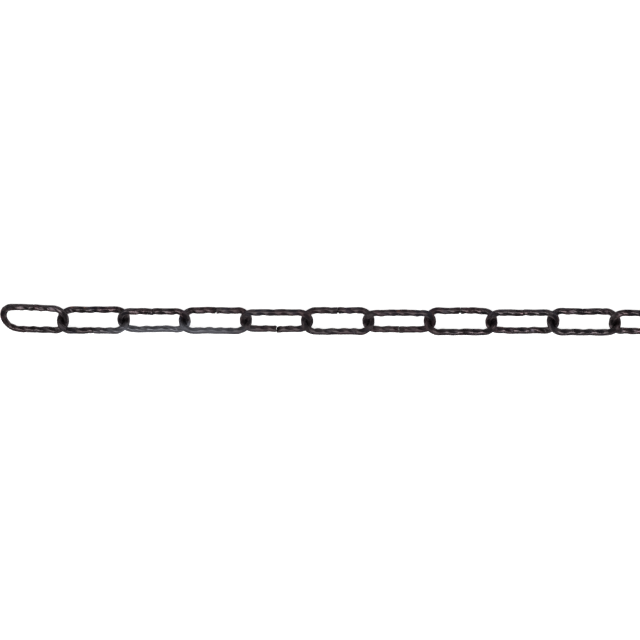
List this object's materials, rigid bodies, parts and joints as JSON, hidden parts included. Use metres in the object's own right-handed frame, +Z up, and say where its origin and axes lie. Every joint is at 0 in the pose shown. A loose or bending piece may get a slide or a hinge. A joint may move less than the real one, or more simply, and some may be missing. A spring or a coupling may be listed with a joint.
{
  "type": "hammered iron chain",
  "caption": "Straight length of decorative chain: long oval links of dark hammered iron wire, each butted on one side and free to swing in the next.",
  "frame": {"origin": "on the floor, below the middle of the chain's length and width", "axes": "+X along the chain, from the link whose end the picture shows; +Z up; +Y across it"},
  "size_m": [0.9986, 0.0204, 0.0163],
  "materials": {
    "hammered_iron": "satin"
  },
  "bodies": {
    "body_01": {"link_01": "hammered_iron"},
    "body_02": {"link_02": "hammered_iron"},
    "body_03": {"link_03": "hammered_iron"},
    "body_04": {"link_04": "hammered_iron"},
    "body_05": {"link_05": "hammered_iron"},
    "body_06": {"link_06": "hammered_iron"},
    "body_07": {"link_07": "hammered_iron"},
    "body_08": {"link_08": "hammered_iron"},
    "body_09": {"link_09": "hammered_iron"},
    "body_10": {"link_10": "hammered_iron"},
    "body_11": {"link_11": "hammered_iron"},
    "body_12": {"link_12": "hammered_iron"},
    "body_13": {"link_13": "hammered_iron"},
    "body_14": {"link_14": "hammered_iron"},
    "body_15": {"link_15": "hammered_iron"},
    "body_16": {"link_16": "hammered_iron"},
    "body_17": {"link_17": "hammered_iron"},
    "body_18": {"link_18": "hammered_iron"},
    "body_19": {"link_19": "hammered_iron"},
    "body_20": {"link_20": "hammered_iron"},
    "body_21": {"link_21": "hammered_iron"},
    "body_22": {"link_22": "hammered_iron"},
    "body_23": {"link_23": "hammered_iron"}
  },
  "joints": [
    {"name": "swing_02", "type": "hinge", "parent": "body_01", "child": "body_02", "pos_m": [-0.45204, -0.00082, 0.00651], "axis": [0.0329, 0.8565, 0.515], "range_deg": [-135, 135]},
    {"name": "swing_03", "type": "hinge", "parent": "body_02", "child": "body_03", "pos_m": [-0.4087, -0.00082, 0.00647], "axis": [0, 0.866, -0.5], "range_deg": [-135, 135]},
    {"name": "swing_04", "type": "hinge", "parent": "body_03", "child": "body_04", "pos_m": [-0.36565, -0.00082, 0.00766], "axis": [0, -0.7314, -0.682], "range_deg": [-135, 135]},
    {"name": "swing_05", "type": "hinge", "parent": "body_04", "child": "body_05", "pos_m": [-0.32239, -0.00082, 0.00688], "axis": [0, -0.8387, 0.5446], "range_deg": [-135, 135]},
    {"name": "swing_06", "type": "hinge", "parent": "body_05", "child": "body_06", "pos_m": [-0.27921, -0.00082, 0.00808], "axis": [0, 0.682, 0.7314], "range_deg": [-135, 135]},
    {"name": "swing_07", "type": "hinge", "parent": "body_06", "child": "body_07", "pos_m": [-0.23607, -0.00082, 0.00688], "axis": [0, 0.8746, -0.4848], "range_deg": [-135, 135]},
    {"name": "swing_08", "type": "hinge", "parent": "body_07", "child": "body_08", "pos_m": [-0.19292, -0.00082, 0.00808], "axis": [0, -0.682, -0.7314], "range_deg": [-135, 135]},
    {"name": "swing_09", "type": "hinge", "parent": "body_08", "child": "body_09", "pos_m": [-0.14979, -0.00082, 0.00688], "axis": [0, -0.8829, 0.4695], "range_deg": [-135, 135]},
    {"name": "swing_10", "type": "hinge", "parent": "body_09", "child": "body_10", "pos_m": [-0.10656, -0.00082, 0.00766], "axis": [0, 0.7314, 0.682], "range_deg": [-135, 135]},
    {"name": "swing_11", "type": "hinge", "parent": "body_10", "child": "body_11", "pos_m": [-0.06347, -0.00082, 0.00647], "axis": [0, 0.8572, -0.515], "range_deg": [-135, 135]},
    {"name": "swing_12", "type": "hinge", "parent": "body_11", "child": "body_12", "pos_m": [-0.02033, -0.00082, 0.00756], "axis": [0, -0.7431, -0.6691], "range_deg": [-135, 135]},
    {"name": "swing_13", "type": "hinge", "parent": "body_12", "child": "body_13", "pos_m": [0.02278, -0.00082, 0.00647], "axis": [0, -0.866, 0.5], "range_deg": [-135, 135]},
    {"name": "swing_14", "type": "hinge", "parent": "body_13", "child": "body_14", "pos_m": [0.06583, -0.00082, 0.00766], "axis": [0, 0.7314, 0.682], "range_deg": [-135, 135]},
    {"name": "swing_15", "type": "hinge", "parent": "body_14", "child": "body_15", "pos_m": [0.10909, -0.00082, 0.00688], "axis": [0, 0.8387, -0.5446], "range_deg": [-135, 135]},
    {"name": "swing_16", "type": "hinge", "parent": "body_15", "child": "body_16", "pos_m": [0.15227, -0.00082, 0.00808], "axis": [0, -0.682, -0.7314], "range_deg": [-135, 135]},
    {"name": "swing_17", "type": "hinge", "parent": "body_16", "child": "body_17", "pos_m": [0.19542, -0.00082, 0.00688], "axis": [0, -0.8746, 0.4848], "range_deg": [-135, 135]},
    {"name": "swing_18", "type": "hinge", "parent": "body_17", "child": "body_18", "pos_m": [0.23856, -0.00082, 0.00808], "axis": [0, 0.682, 0.7314], "range_deg": [-135, 135]},
    {"name": "swing_19", "type": "hinge", "parent": "body_18", "child": "body_19", "pos_m": [0.28169, -0.00082, 0.00688], "axis": [0, 0.8829, -0.4695], "range_deg": [-135, 135]},
    {"name": "swing_20", "type": "hinge", "parent": "body_19", "child": "body_20", "pos_m": [0.32492, -0.00082, 0.00766], "axis": [0, -0.7314, -0.682], "range_deg": [-135, 135]},
    {"name": "swing_21", "type": "hinge", "parent": "body_20", "child": "body_21", "pos_m": [0.36801, -0.00082, 0.00647], "axis": [0, -0.8572, 0.515], "range_deg": [-135, 135]},
    {"name": "swing_22", "type": "hinge", "parent": "body_21", "child": "body_22", "pos_m": [0.41116, -0.00082, 0.00756], "axis": [0, 0.7431, 0.6691], "range_deg": [-135, 135]},
    {"name": "swing_23", "type": "hinge", "parent": "body_22", "child": "body_23", "pos_m": [0.45426, -0.00082, 0.00647], "axis": [0, 0.866, -0.5], "range_deg": [-135, 135]}
  ]
}
